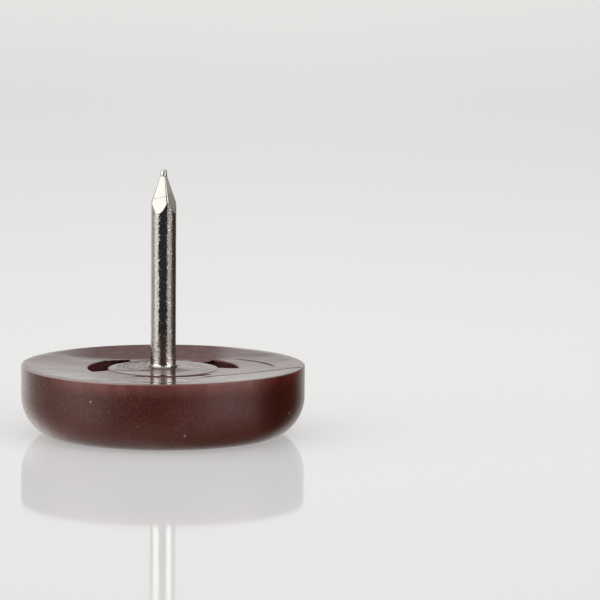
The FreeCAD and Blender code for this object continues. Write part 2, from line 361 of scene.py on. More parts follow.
def flash_rows(turn, first, last, first_inner, last_inner):
    """Rows of points round a thin skin over part of a slot, from a ragged inner edge to the outer edge."""
    rows = []
    for share in ramp(0, 1, FLASH_STEPS):
        thickness = FLASH_THICKNESS * min(1.0, FLASH_TAPER * share, FLASH_TAPER * (1 - share))
        wave = sum(size * math.sin(pace * share) for size, pace in FLASH_EDGE_WAVES)
        inner = first_inner + (last_inner - first_inner) * share + wave
        inner = min(inner, DISH_EDGE - FLASH_LEAST_WIDTH)
        upper = []
        lower = []
        for radius in ramp(inner, DISH_EDGE, FLASH_WIDTH_STEPS):
            ragged = sum(size * math.sin(pace * radius + start) for size, pace, start in FLASH_END_WAVES)
            half = slot_half_angle(radius, SLOT_EDGE_ROUND)
            begin = max(first + ragged, -half)
            end = min(last + ragged, half)
            angle = turn + begin + (end - begin) * share
            height = dish_height(radius) + FLASH_LIFT
            upper.append(polar(radius, angle, height))
            lower.append(polar(radius, angle, height - thickness))
        rows.append(upper + lower[::-1])
    return rows


def make_disc():
    """The moulded disc, with its dished top, hub, three slots and rounded sole."""
    shell = Shell()
    for profile in (outer_profile(), inner_profile()):
        angles = ring_angles(profile[0][0])
        shell.add_grid([[polar(r, a, z) for a in angles] for r, z in profile], closed=True)
    turns = [SLOT_TURN + slot * SLOT_SPACING for slot in range(SLOT_COUNT)]
    for turn in turns:
        shell.add_grid(slot_rows(turn), closed=True)
        shell.add_grid(rib_rows(turn), closed=False)
    for slot, first, last, first_inner, last_inner in FLASHES:
        shell.add_grid(flash_rows(turns[slot], first, last, first_inner, last_inner), closed=True)
    return shell.make_object("disc", DISC_SHARP)


def ridge_shape(degrees, rounding):
    """Distance to the outline of a square with rounded corners, in a direction from its side's middle.

    The square's half width is 1.
    """
    angle = math.radians(degrees)
    centre = 1 - rounding
    if math.tan(angle) <= centre:
        return 1 / math.cos(angle)
    along = centre * (math.cos(angle) + math.sin(angle))
    return along + math.sqrt(along ** 2 - 2 * centre ** 2 + rounding ** 2)


def nail_columns():
    """Directions round the nail as (degrees, degrees from the nearest side's middle), closer at ridges."""
    octant = ramp(0, SIDE_END, SIDE_STEPS) + ramp(RIDGE_START, RIDGE_END, RIDGE_STEPS)
    columns = []
    for side in range(4):
        middle = FACET_TURN + 90 * side
        columns += [(middle + a, a) for a in octant]
        columns += [(middle + 45, 45.0)]
        columns += [(middle + 90 - a, a) for a in reversed(octant[1:])]
    return columns


def make_nail():
    """The steel nail: head and neck inside the plastic, flared foot, round shank and four-sided point."""
    columns = nail_columns()

    def point_height(half_width):
        """Height at which the point's sides are a half width from the axis."""
        return NIB_BASE - POINT_LENGTH * (half_width - NIB_HALF) / (NAIL_RADIUS - NIB_HALF)

    def turned_row(radius, height):
        return [polar(radius, a, height) for a, _ in columns]

    rows = [turned_row(0.0, HEAD_COVER)]
    for radius, height in [(HEAD_RADIUS, HEAD_COVER), (HEAD_RADIUS, HEAD_TOP), (NECK_RADIUS, HEAD_TOP)]:
        rows.append(turned_row(radius, height))
    for climb in ramp(0, 1, FOOT_STEPS):
        flare = FOOT_FLARE * (1 - climb) ** FOOT_CURVE
        rows.append(turned_row(NAIL_RADIUS + flare, HUB_TOP + FOOT_HEIGHT * climb))
    for height in ramp(FOOT_TOP, point_height(NAIL_RADIUS) - SHANK_GAP, SHANK_STEPS)[1:]:
        rows.append(turned_row(NAIL_RADIUS, height))

    starts = [NAIL_RADIUS / ridge_shape(off, RIDGE_ROUND) for _, off in columns]
    for share in ramp(0, 1, POINT_STEPS):
        row = []
        for (a, off), start in zip(columns, starts):
            half_width = start + (NIB_HALF - start) * share
            row.append(polar(half_width * ridge_shape(off, RIDGE_ROUND), a, point_height(half_width)))
        rows.append(row)
    for climb, widening, rounding in NIB_RINGS:
        height = NIB_BASE + NIB_HEIGHT * climb
        half_width = NIB_HALF * widening
        rows.append([polar(half_width * ridge_shape(off, rounding), a, height) for a, off in columns])
    shell = Shell()
    shell.add_grid(rows, closed=True)
    return shell.make_object("steel_nail", NAIL_SHARP)


class Nodes:
    """Short ways to add and join the nodes of one material or world."""

    def __init__(self, tree):
        self.tree = tree
        tree.nodes.clear()

    def add(self, kind, settings=None, **inputs):
        """Adds a node, sets its properties and fills its inputs with values or links.

        An input goes by its name, with _ for a space, or by its place as i0, i1 and so on.
        """
        node = self.tree.nodes.new(kind)
        for name, value in (settings or {}).items():
            setattr(node, name, value)
        for name, value in inputs.items():
            key = int(name[1:]) if name[0] == "i" and name[1:].isdigit() else name.replace("_", " ")
            socket = node.inputs[key]
            if isinstance(value, bpy.types.NodeSocket):
                self.tree.links.new(value, socket)
            else:
                socket.default_value = value
        return node

    def math(self, operation, first, second=0.0):
        """Result of one arithmetic step."""
        return self.add("ShaderNodeMath", {"operation": operation}, i0=first, i1=second).outputs[0]

    def vector(self, operation, first, second):
        """Node of one step with two vectors."""
        return self.add("ShaderNodeVectorMath", {"operation": operation}, i0=first, i1=second)

    def product(self, first, *others):
        """Product of several numbers."""
        result = first
        for other in others:
            result = self.math("MULTIPLY", result, other)
        return result

    def between(self, value, low, high):
        """0 below low, 1 above high, smooth between; the other way round where low is above high."""
        ends = {"interpolation_type": "SMOOTHSTEP"}
        if low < high:
            return self.add("ShaderNodeMapRange", ends, Value=value, From_Min=low, From_Max=high).outputs[0]
        return self.add("ShaderNodeMapRange", ends, Value=value, From_Min=high, From_Max=low,
                        To_Min=1.0, To_Max=0.0).outputs[0]

    def region(self, *fades):
        """Product of several fades, each given as a value and the pair that it goes between."""
        return self.product(*[self.between(value, *pair) for value, pair in fades])

    def mix(self, factor, first, second):
        """Blend of two numbers."""
        return self.add("ShaderNodeMix", {"data_type": "FLOAT"}, i0=factor, i2=first, i3=second).outputs[0]

    def blend(self, factor, first, second):
        """Blend of two colours."""
        node = self.add("ShaderNodeMix", {"data_type": "RGBA"}, i0=factor, i6=first, i7=second)
        return node.outputs[2]

    def noise(self, vector, scale, detail=2.0, roughness=0.5):
        """Smooth noise from 0 to 1."""
        node = self.add("ShaderNodeTexNoise", Vector=vector, Scale=scale, Detail=detail, Roughness=roughness)
        return node.outputs[0]

    def rings(self, vector, scale, distortion, detail, detail_scale):
        """Wavy rings round the upright axis, from 0 to 1."""
        node = self.add("ShaderNodeTexWave", {"wave_type": "RINGS", "rings_direction": "Z"}, Vector=vector,
                        Scale=scale, Distortion=distortion, Detail=detail, Detail_Scale=detail_scale)
        return node.outputs[1]

    def stretch(self, vector, x, y, z):
        """Coordinates stretched along the three axes."""
        return self.vector("MULTIPLY", vector, (x, y, z)).outputs[0]

    def length(self, x, y):
        """Length of a flat vector."""
        flat = self.add("ShaderNodeCombineXYZ", X=x, Y=y, Z=0.0).outputs[0]
        return self.add("ShaderNodeVectorMath", {"operation": "LENGTH"}, i0=flat).outputs["Value"]

    def distance(self, x, y, place):
        """Distance from an upright line at a place."""
        return self.length(self.math("SUBTRACT", x, place[0]), self.math("SUBTRACT", y, place[1]))


def new_material(name):
    """A node material and its nodes."""
    material = bpy.data.materials.new(name)
    material.use_nodes = True
    return material, Nodes(material.node_tree)


def millimetres(nodes):
    """Position on the object in millimetres, and its three parts."""
    place = nodes.add("ShaderNodeTexCoord").outputs["Object"]
    vector = nodes.stretch(place, 1 / MM, 1 / MM, 1 / MM)
    parts = nodes.add("ShaderNodeSeparateXYZ", Vector=vector)
    return vector, parts.outputs[0], parts.outputs[1], parts.outputs[2]


# Two scratches on the top, in millimetres and degrees. A straight one has a direction, a distance from the
# axis and two ends, and a curved one a circle and the directions of its ends. Each width is half of the full
# one, and the ends fade over a length or a turn.
STRAIGHT_SCRATCH = {"degrees": 23.8, "offset": -6.04, "start": 1.0, "end": 10.3, "width": 0.20}
CURVED_SCRATCH = {"centre": (1.55, -1.7), "radius": 7.96, "first": 2.0, "last": 56.0, "width": 0.22}
STRAIGHT_FADE = 0.5
CURVED_FADE_IN = 24
CURVED_FADE_OUT = 6

# Pale specks on the disc, each from one point to another, and half their width.
SPECKS = [
    ((-5.68, -10.57, 4.20), (-5.64, -10.59, 4.26)),
    ((2.08, -11.30, 1.46), (2.20, -11.34, 1.64)),
    ((10.66, -5.28, 2.55), (10.70, -5.20, 2.66)),
    ((9.39, -5.19, 0.55), (9.90, -4.98, 0.95)),
    ((2.40, 10.20, 5.82), (2.55, 10.20, 5.82)),
]
SPECK_WIDTH = 0.08


def fine_line(nodes, apart, width):
    """1 in the middle third of a line and 0 past its edges, by the distance from its middle.

    The width is half of the full one.
    """
    return nodes.between(apart, width, width / 3)


def straight_scratch(nodes, x, y, degrees, offset, start, end, width):
    """1 along a straight fine line on the top."""
    cosine = math.cos(math.radians(degrees))
    sine = math.sin(math.radians(degrees))
    along = nodes.math("ADD", nodes.product(x, cosine), nodes.product(y, sine))
    across = nodes.math("SUBTRACT", nodes.product(y, cosine), nodes.product(x, sine))
    apart = nodes.math("ABSOLUTE", nodes.math("SUBTRACT", across, offset))
    ends = nodes.region((along, (start, start + STRAIGHT_FADE)), (along, (end, end - STRAIGHT_FADE)))
    return nodes.product(fine_line(nodes, apart, width), ends)


def curved_scratch(nodes, x, y, centre, radius, first, last, width):
    """1 along a fine curved line on the top."""
    apart = nodes.math("ABSOLUTE", nodes.math("SUBTRACT", nodes.distance(x, y, centre), radius))
    right = nodes.math("SUBTRACT", x, centre[0])
    back = nodes.math("SUBTRACT", y, centre[1])
    turned = nodes.math("ARCTAN2", back, right)
    fade_in = (math.radians(first), math.radians(first + CURVED_FADE_IN))
    fade_out = (math.radians(last), math.radians(last - CURVED_FADE_OUT))
    return nodes.product(fine_line(nodes, apart, width), nodes.region((turned, fade_in), (turned, fade_out)))


def pale_mark(nodes, place, start, end, width):
    """1 along a short straight mark between two points on the surface."""
    run = Vector(end) - Vector(start)
    offset = nodes.vector("SUBTRACT", place, start).outputs[0]
    reach = nodes.vector("DOT_PRODUCT", offset, tuple(run / run.length_squared)).outputs["Value"]
    held = nodes.math("MINIMUM", nodes.math("MAXIMUM", reach, 0.0), 1.0)
    nearest = nodes.add("ShaderNodeVectorMath", {"operation": "SCALE"}, i0=tuple(run), Scale=held).outputs[0]
    apart = nodes.vector("DISTANCE", offset, nearest).outputs["Value"]
    return fine_line(nodes, apart, width)


# Where the plastic's tones and marks lie. Each pair goes from where a fade is 0 to where it is 1: in
# millimetres, or, for a TILT, in the upward part of the surface's direction, or, for a NOISE and OFF_TOP,
# in a value from 0 to 1. A PLACE or a CENTRE is a point instead, in millimetres.
TOP_TILT = (0.90, 0.985)
TOP_HEIGHTS = (4.9, 5.2)
OFF_TOP = (0.9, 0.1)
LOW_WALL = (3.6, 1.6)
LOWER_EDGE = (1.0, 0.3)
# Pale flecks on the grain are painted glints, which end towards the right, away from the light.
GLINT_FLECK_NOISE = (0.54, 0.68)
GLINT_FLECK_END = (9.5, 6.5)
# The walls and floors of the slots are painted lighter: painted light inside the slots.
SLOT_LIGHT_HEIGHTS = (5.45, 5.2)
SLOT_LIGHT_RADII = (8.0, 7.0)
# The right end of the wall is painted darker: painted shade from the other glide that stands to the right.
SHADED_RIGHT_END = (7.4, 9.8)
# A lighter band on the wall right of the middle is a painted sheen of the light on the right.
FLANK_SHEEN_LEFT = (0.5, 4.0)
FLANK_SHEEN_RIGHT = (8.8, 6.5)
FLANK_SHEEN_HEIGHTS = (1.6, 3.0)
# The band under the rim is a painted red glow, as of light shining through the plastic.
RIM_GLOW_HEIGHTS = (4.5, 5.7)
RIM_GLOW_RADII = (11.85, 11.97)
RIM_GLOW_LEFT = (-11.0, -6.0)
RIM_GLOW_NOISE = (0.34, 0.68)
# The rounded rim edge is painted pale on the left: a painted highlight.
RIM_HIGHLIGHT_HEIGHTS = (5.76, 5.84)
RIM_HIGHLIGHT_RADII = (11.80, 11.90)
RIM_HIGHLIGHT_LEFT = (3.0, -6.0)
TORN_PLACE = (3.7, 4.3)
TORN_REACH = (1.9, 1.2)
TORN_INNER = (4.55, 4.75)
TORN_OUTER = (6.8, 6.5)
BURR_PLACE = (-6.1, -3.5)
BURR_REACH = (0.36, 0.16)
BURR_NOISE = (0.38, 0.48)
SOLE_TILT = (-0.80, -0.97)
SOLE_RADII = (8.8, 7.2)
FLOW_CENTRE = (16.0, 6.0, 0.0)
FLOW_NOISE = (0.34, 0.62)
WORN_FRONT = (4.2, 5.6)
WORN_LEFT = (-10.5, -5.0)
WORN_RIGHT = (6.8, 3.4)
SMOOTH_LEFT = (-8.0, -10.5)
DIM_RIGHT = (0.5, -2.0)
DIM_LEFT = (-8.0, -4.0)
DIM_BACK = (1.5, -0.5)
DIM_OUTER = (10.0, 8.0)
DIM_INNER = (4.4, 4.8)
TURNING_RADII = (5.0, 1.6)
CRINKLE_RADII = (4.4, 3.8)
CRINKLE_LEFT = (0.5, -1.0)
CRINKLE_FRONT = (-2.2, -0.8)

# How strong some of these are; a pair goes from a fade's 0 to its 1.
STREAK_SHARE = 0.45
RIM_GLOW_LEVELS = (0.56, 1.06)
SMOOTH_LEFT_LEVEL = 0.25
WORN_LEVELS = (0.5, 1.2)
CRINKLE_LEVELS = (0.35, 1.0)
GRAIN_LEVELS = (3.0, 0.06)

# Tones of the plastic, as linear red, green and blue. The noise of the base turns from the dark tone to the
# warm one between the values of TONE_NOISE.
DARK_TONE = (0.056, 0.009, 0.005, 1)
WARM_TONE = (0.096, 0.021, 0.015, 1)
TONE_NOISE = (0.34, 0.68)
# Painted light from the pale floor: the lower wall lighter and redder.
LOW_BOUNCE_TONE = (0.150, 0.046, 0.033, 1)
# Painted glints on the grain.
GLINT_FLECK_TONE = (0.22, 0.105, 0.095, 1)
# Painted light inside the slots.
SLOT_LIGHT_TONE = (0.19, 0.080, 0.068, 1)
# Painted shade at the right end.
RIGHT_SHADE_TONE = (0.040, 0.004, 0.002, 1)
# Painted sheen right of the middle of the wall.
FLANK_SHEEN_TONE = (0.135, 0.048, 0.050, 1)
# Painted red glow under the rim, and the same glow painted darker in the shade at the right end.
RIM_GLOW_TONE = (0.205, 0.065, 0.055, 1)
RIM_GLOW_RIGHT_SHADE_TONE = (0.100, 0.012, 0.008, 1)
# Painted highlight on the rim edge.
RIM_HIGHLIGHT_TONE = (0.48, 0.40, 0.38, 1)
SCRATCH_TONE = (0.02, 0.008, 0.006, 1)
TORN_TONE = (0.15, 0.052, 0.046, 1)
BURR_TONE = (0.50, 0.42, 0.34, 1)
FLOW_TONE = (0.17, 0.060, 0.050, 1)
SPECK_TONE = (0.42, 0.32, 0.29, 1)

# Roughness of the plastic; a pair goes from one end of a noise to the other.
WALL_ROUGHNESS = (0.24, 0.40)
SMOOTH_WALL_ROUGHNESS = 0.16
TOP_ROUGHNESS = (0.05, 0.12)
WORN_ROUGHNESS = 0.56
DIM_ROUGHNESS = 0.20
SCRATCH_ROUGHNESS = 0.65
BROKEN_ROUGHNESS = 0.55
SOLE_ROUGHNESS = (0.34, 0.24)


class Plastic:
    """Dark reddish brown moulded plastic: a cloudy colour, a satin wall with a painted red glow under the
    rim, a glossy top with scratches, and a sole with flow marks. Its colour also holds painted light: glints
    on the grain, lighter slots, a lighter lower wall, a sheen right of the middle, a highlight on the left
    rim edge and shade at the right end. Its fields say where each of these lies, from 0 to 1.
    """

    def __init__(self, nodes):
        self.nodes = nodes
        self.place, self.x, self.y, self.z = millimetres(nodes)
        self.radius = nodes.length(self.x, self.y)
        self.grain = nodes.noise(self.place, scale=6.0, detail=3.0, roughness=0.65)
        normal = nodes.add("ShaderNodeNewGeometry").outputs["Normal"]
        up = nodes.add("ShaderNodeSeparateXYZ", Vector=normal).outputs[2]
        self.top = nodes.region((up, TOP_TILT), (self.z, TOP_HEIGHTS))
        self.low = nodes.between(self.z, *LOW_WALL)
        self.shaded_right_end = nodes.region((self.x, SHADED_RIGHT_END), (self.top, OFF_TOP))
        scratches = nodes.math("MAXIMUM", straight_scratch(nodes, self.x, self.y, **STRAIGHT_SCRATCH),
                               curved_scratch(nodes, self.x, self.y, **CURVED_SCRATCH))
        self.scratches = nodes.product(scratches, self.top)
        torn = nodes.distance(self.x, self.y, TORN_PLACE)
        torn = nodes.region((torn, TORN_REACH), (self.radius, TORN_INNER), (self.radius, TORN_OUTER))
        self.torn = nodes.product(torn, self.top)
        burr = nodes.distance(self.x, self.y, BURR_PLACE)
        self.burr = nodes.product(nodes.region((burr, BURR_REACH), (self.grain, BURR_NOISE)), self.top)
        self.sole = nodes.region((up, SOLE_TILT), (self.radius, SOLE_RADII))
        beside = nodes.vector("SUBTRACT", self.place, FLOW_CENTRE).outputs[0]
        flow = nodes.rings(beside, scale=0.45, distortion=7.0, detail=1.0, detail_scale=0.3)
        self.flow = nodes.product(flow, nodes.between(nodes.noise(self.place, scale=0.3), *FLOW_NOISE))

    def base_tone(self):
        """Cloudy brown with faint upright streaks."""
        nodes = self.nodes
        cloud = nodes.noise(self.place, scale=0.32, detail=3.0)
        streak = nodes.noise(nodes.stretch(self.place, 0.5, 0.5, 0.12), scale=1.0, detail=3.0)
        tone = nodes.add("ShaderNodeValToRGB", Fac=nodes.mix(STREAK_SHARE, cloud, streak))
        for element, position, colour in zip(tone.color_ramp.elements, TONE_NOISE, (DARK_TONE, WARM_TONE)):
            element.position = position
            element.color = colour
        return tone.outputs[0]

    def painted_rim_glow(self):
        """Patchy painted red glow on the wall just under the rim, as of light shining through the plastic,
        which fades out at the far left.
        """
        nodes = self.nodes
        noise = nodes.noise(nodes.stretch(self.place, 0.9, 0.9, 0.3), scale=1.0, detail=4.0)
        patches = nodes.mix(nodes.between(noise, *RIM_GLOW_NOISE), *RIM_GLOW_LEVELS)
        band = nodes.region((self.z, RIM_GLOW_HEIGHTS), (self.radius, RIM_GLOW_RADII))
        return nodes.product(band, patches, nodes.between(self.x, *RIM_GLOW_LEFT))

    def colour(self):
        """The base tone with the other tones laid over it, each in its place and by a share."""
        nodes = self.nodes
        x, z, radius = self.x, self.z, self.radius
        glint_fleck_place = nodes.math("MAXIMUM", nodes.between(x, *GLINT_FLECK_END), self.top)
        glint_fleck = nodes.product(nodes.between(self.grain, *GLINT_FLECK_NOISE), glint_fleck_place)
        lit_slots = nodes.region((z, SLOT_LIGHT_HEIGHTS), (radius, SLOT_LIGHT_RADII))
        flank_sheen = nodes.region((x, FLANK_SHEEN_LEFT), (x, FLANK_SHEEN_RIGHT), (z, FLANK_SHEEN_HEIGHTS))
        rim_highlight = nodes.region((z, RIM_HIGHLIGHT_HEIGHTS), (radius, RIM_HIGHLIGHT_RADII), (x, RIM_HIGHLIGHT_LEFT))
        rim_glow_colour = nodes.blend(self.shaded_right_end, RIM_GLOW_TONE, RIM_GLOW_RIGHT_SHADE_TONE)
        layers = [
            # painted light from the floor on the lower wall
            (self.low, 0.45, LOW_BOUNCE_TONE),
            # painted glints on the grain
            (glint_fleck, 0.46, GLINT_FLECK_TONE),
            # painted light inside the slots
            (lit_slots, 0.35, SLOT_LIGHT_TONE),
            # painted shade at the right end
            (self.shaded_right_end, 0.85, RIGHT_SHADE_TONE),
            # painted sheen on the wall
            (flank_sheen, 0.32, FLANK_SHEEN_TONE),
            # painted red glow under the rim
            (self.painted_rim_glow(), 1.0, rim_glow_colour),
            # painted highlight on the rim edge
            (rim_highlight, 0.7, RIM_HIGHLIGHT_TONE),
            (self.scratches, 0.25, SCRATCH_TONE),
            (self.torn, 0.8, TORN_TONE),
            (self.burr, 0.9, BURR_TONE),
            (nodes.product(self.flow, self.sole), 0.3, FLOW_TONE),
        ]
        for start, end in SPECKS:
            layers.append((pale_mark(nodes, self.place, start, end, SPECK_WIDTH), 1.0, SPECK_TONE))
        colour = self.base_tone()
        for where, share, tone in layers:
            colour = nodes.blend(nodes.product(where, share), colour, tone)
        return colour

    def roughness(self):
        """Satin wall, glossy top that is worn at the back and dimmer at the left of the hub, duller sole."""
        nodes = self.nodes
        x, y, radius = self.x, self.y, self.radius
        dull = nodes.noise(self.place, scale=1.1, detail=3.0)
        left_end = nodes.product(nodes.between(x, *SMOOTH_LEFT), SMOOTH_LEFT_LEVEL)
        smooth_wall = nodes.math("MAXIMUM", self.shaded_right_end, left_end)
        wall = nodes.mix(smooth_wall, nodes.mix(dull, *WALL_ROUGHNESS), SMOOTH_WALL_ROUGHNESS)
        worn = nodes.region((y, WORN_FRONT), (x, WORN_LEFT), (x, WORN_RIGHT))
        worn = nodes.product(worn, nodes.mix(dull, *WORN_LEVELS))
        top = nodes.mix(worn, nodes.mix(dull, *TOP_ROUGHNESS), WORN_ROUGHNESS)
        dim = nodes.region((x, DIM_RIGHT), (x, DIM_LEFT), (y, DIM_BACK), (radius, DIM_OUTER),
                           (radius, DIM_INNER))
        top = nodes.mix(dim, top, DIM_ROUGHNESS)
        rough = nodes.mix(self.scratches, nodes.mix(self.top, wall, top), SCRATCH_ROUGHNESS)
        rough = nodes.mix(nodes.math("MAXIMUM", self.torn, self.burr), rough, BROKEN_ROUGHNESS)
        return nodes.mix(self.sole, rough, nodes.mix(self.flow, *SOLE_ROUGHNESS))

    def relief(self):
        """Fine heights: grain, turning rings and crinkles on the hub, ripples on the top, peel low down."""
        nodes = self.nodes
        turning = nodes.rings(self.place, scale=0.9, distortion=1.5, detail=2.0, detail_scale=0.6)
        turning = nodes.product(turning, self.top, nodes.between(self.radius, *TURNING_RADII))
        peel = nodes.noise(self.place, scale=2.6)
        ripple = nodes.noise(self.place, scale=0.9, detail=3.0, roughness=0.55)
        sag = nodes.noise(self.place, scale=0.3, detail=1.0)
        crinkle = nodes.noise(nodes.stretch(self.place, 2.4, 1.5, 1.0), scale=1.0, detail=1.0)
        crinkled_left = nodes.mix(nodes.between(self.x, *CRINKLE_LEFT), *CRINKLE_LEVELS)
        crinkled = nodes.region((self.radius, CRINKLE_RADII), (self.y, CRINKLE_FRONT))
        crinkled = nodes.product(crinkled, crinkled_left, self.top)
        whole_top = nodes.math("SUBTRACT", self.top, self.torn)
        relief = nodes.product(self.grain, nodes.mix(whole_top, *GRAIN_LEVELS))
        heights = [
            (turning, 0.3),
            (nodes.product(ripple, self.top), 2.4),
            (nodes.product(crinkle, crinkled), 15.0),
            (nodes.product(self.flow, self.sole), 1.8),
            (nodes.product(peel, nodes.between(self.z, *LOWER_EDGE)), 5.0),
            (nodes.product(sag, self.top), 8.0),
            (nodes.product(peel, self.low), 0.9),
            (self.scratches, -6.0),
        ]
        for height, share in heights:
            relief = nodes.math("ADD", relief, nodes.product(height, share))
        return relief


def make_plastic():
    """The disc's material."""
    material, nodes = new_material("moulded_brown_plastic")
    plastic = Plastic(nodes)
    bump = nodes.add("ShaderNodeBump", Strength=0.25, Distance=0.03 * MM, Height=plastic.relief())
    shader = nodes.add("ShaderNodeBsdfPrincipled", Base_Color=plastic.colour(), Roughness=plastic.roughness(),
                       IOR=1.5, Subsurface_Weight=0.15, Subsurface_Radius=(1.0, 0.35, 0.25),
                       Subsurface_Scale=0.9 * MM, Normal=bump.outputs[0])
    nodes.add("ShaderNodeOutputMaterial", Surface=shader.outputs[0])
    return material


# Where the steel's marks lie, as for the plastic: its dull specks, the end of the drawn shank, the darker
# band at its foot, the faint crosswise line on the point's sides and the painted shade on the right side of
# the point.
DULL_NOISE = (0.57, 0.70)
SHANK_END = (19.9, 18.8)
FOOT_DARK_HEIGHTS = (FOOT_TOP - 0.15, HUB_TOP + 0.05)
LINE_HEIGHT = 20.05
LINE_SLOPE = 0.25
LINE_WAVE = 0.25
LINE_REACH = (0.07, 0.01)
LINE_NOISE = (0.40, 0.55)
# The right side of the point is painted darker: painted shade.
SHADED_SIDE_UPPER = (21.2, 19.4)
SHADED_SIDE_LOWER = (18.7, 19.1)
SHADED_SIDE_LEFT = (0.15, 0.5)

# Tones of the steel, the last one for its glancing reflections, and its roughness.
STEEL_TONES = [(0.70, 0.68, 0.64, 1), (0.60, 0.58, 0.54, 1)]
FOOT_DARK_TONE = (0.10, 0.05, 0.04, 1)
LINE_TONE = (0.16, 0.10, 0.08, 1)
# Painted shade on the right side of the point.
SHADED_SIDE_TONE = (0.30, 0.26, 0.23, 1)
GLANCING_TONE = (0.62, 0.60, 0.56, 1)
POINT_ROUGHNESS = 0.10
SHANK_ROUGHNESS = (0.05, 0.32)


def make_steel():
    """Bright plated wire: drawing marks along the shank, fine dull specks, and a darker brown band at the
    foot.
    """
    material, nodes = new_material("plated_steel")
    place, x, _, z = millimetres(nodes)
    sparkle = nodes.noise(place, scale=5.5, detail=1.0)
    drawn = nodes.noise(nodes.stretch(place, 9.0, 9.0, 0.35), scale=1.0, detail=3.0)
    shank = nodes.between(z, *SHANK_END)

    slope = nodes.product(x, LINE_SLOPE)
    line_rise = nodes.math("ADD", slope, nodes.product(nodes.noise(place, scale=3.0), LINE_WAVE))
    off_line = nodes.math("SUBTRACT", nodes.math("SUBTRACT", z, line_rise), LINE_HEIGHT)
    line = nodes.region((nodes.math("ABSOLUTE", off_line), LINE_REACH), (sparkle, LINE_NOISE))
    # painted shade on the right side of the point
    shaded_side = nodes.region((z, SHADED_SIDE_UPPER), (z, SHADED_SIDE_LOWER), (x, SHADED_SIDE_LEFT))
    colour = nodes.blend(nodes.noise(place, scale=0.6), *STEEL_TONES)
    layers = [
        (nodes.between(z, *FOOT_DARK_HEIGHTS), 0.8, FOOT_DARK_TONE),
        (line, 0.7, LINE_TONE),
        (shaded_side, 0.45, SHADED_SIDE_TONE),
    ]
    for where, share, tone in layers:
        colour = nodes.blend(nodes.product(where, share), colour, tone)

    dull = nodes.between(sparkle, *DULL_NOISE)
    rough = nodes.mix(shank, POINT_ROUGHNESS, nodes.mix(dull, *SHANK_ROUGHNESS))
    relief = nodes.math("ADD", nodes.product(sparkle, 1.1), nodes.product(drawn, 0.3))
    bump = nodes.add("ShaderNodeBump", Strength=0.5, Distance=0.04 * MM, Height=nodes.product(relief, shank))
    shader = nodes.add("ShaderNodeBsdfPrincipled", Base_Color=colour, Metallic=1.0, Roughness=rough,
                       Specular_Tint=GLANCING_TONE, Normal=bump.outputs[0])
    nodes.add("ShaderNodeOutputMaterial", Surface=shader.outputs[0])
    return material


# The floor: half its width, in metres; how far it lies under the sole, in millimetres, so that the two
# never share one plane; its tones as the light finds them and as the viewer sees it; and the glow that
# the viewer sees even in the shadow, as on a lit white table, which fades with the distance in metres.
# Its roughness and shine set the faint mirror image.
FLOOR_HALF = 3.0
FLOOR_DROP = 0.02
FLOOR_TONES = [(0.84, 0.84, 0.835, 1), (0.86, 0.86, 0.855, 1)]
FLOOR_SEEN_TONE = (0.455, 0.456, 0.458, 1)
FLOOR_GLOW = 0.32
FLOOR_GLOW_TONE = (1.0, 0.99, 0.98, 1)
FLOOR_FADE = (-0.05, 0.36)
FLOOR_FAR_SHARE = 0.466
FLOOR_ROUGHNESS = 0.06
FLOOR_SHINE = 0.066


def make_floor():
    """Pale, slightly glossy floor that reaches past the view on all sides."""
    mesh = bpy.data.meshes.new("floor")
    sides = ((-1, -1), (1, -1), (1, 1), (-1, 1))
    corners = [(FLOOR_HALF * right, FLOOR_HALF * back, 0) for right, back in sides]
    mesh.from_pydata(corners, [], [(0, 1, 2, 3)])
    floor = bpy.data.objects.new("floor", mesh)
    floor.location = (0, 0, -FLOOR_DROP * MM)
    bpy.context.scene.collection.objects.link(floor)
    material, nodes = new_material("pale_floor")
    place = nodes.add("ShaderNodeTexCoord").outputs["Object"]
    away = nodes.add("ShaderNodeSeparateXYZ", Vector=place).outputs[1]
    fade = nodes.mix(nodes.between(away, *FLOOR_FADE), 1.0, FLOOR_FAR_SHARE)
    seen = nodes.add("ShaderNodeLightPath").outputs["Is Camera Ray"]
    colour = nodes.blend(nodes.noise(place, scale=3.0), *FLOOR_TONES)
    colour = nodes.blend(seen, colour, FLOOR_SEEN_TONE)
    glow = nodes.product(seen, fade, FLOOR_GLOW)
    shader = nodes.add("ShaderNodeBsdfPrincipled", Base_Color=colour, Roughness=FLOOR_ROUGHNESS,
                       Specular_IOR_Level=FLOOR_SHINE, Emission_Color=FLOOR_GLOW_TONE,
                       Emission_Strength=glow)
    nodes.add("ShaderNodeOutputMaterial", Surface=shader.outputs[0])
    mesh.materials.append(material)
    floor.visible_glossy = False


# Brightness of the surroundings round the object, as (degrees to the right of the viewer, brightness):
# the floor close by, the floor further off, the backdrop and panels near the horizon, and those higher up.
NEAR_FLOOR_BANDS = [
    (-180, 0.80), (-100, 0.50), (-40, 0.12), (40, 0.12), (90, 0.06), (140, 0.06), (165, 0.60), (180, 0.80),
]
FAR_FLOOR_BANDS = [
    (-180, 0.80), (-165, 1.20), (-150, 1.55), (-132, 0.62), (-106, 0.36), (-89, 0.42),
    (-80, 0.95), (-50, 0.92), (-40, 0.03), (34, 0.03), (40, 0.48), (62, 0.54),
    (90, 0.08), (104, 0.06), (140, 0.06), (152, 0.44), (166, 0.66), (180, 0.80),
]
LOW_BANDS = [
    (-180, 0.76), (-168, 0.70), (-157, 0.12), (-98, 0.10), (-90, 2.30), (-40, 2.30),
    (-34, 0.04), (36, 0.04), (42, 2.60), (68, 2.60), (100, 0.05), (123, 0.05),
    (126, 0.46), (136, 0.46), (140, 0.10), (152, 0.10), (166, 0.68), (180, 0.76),
]
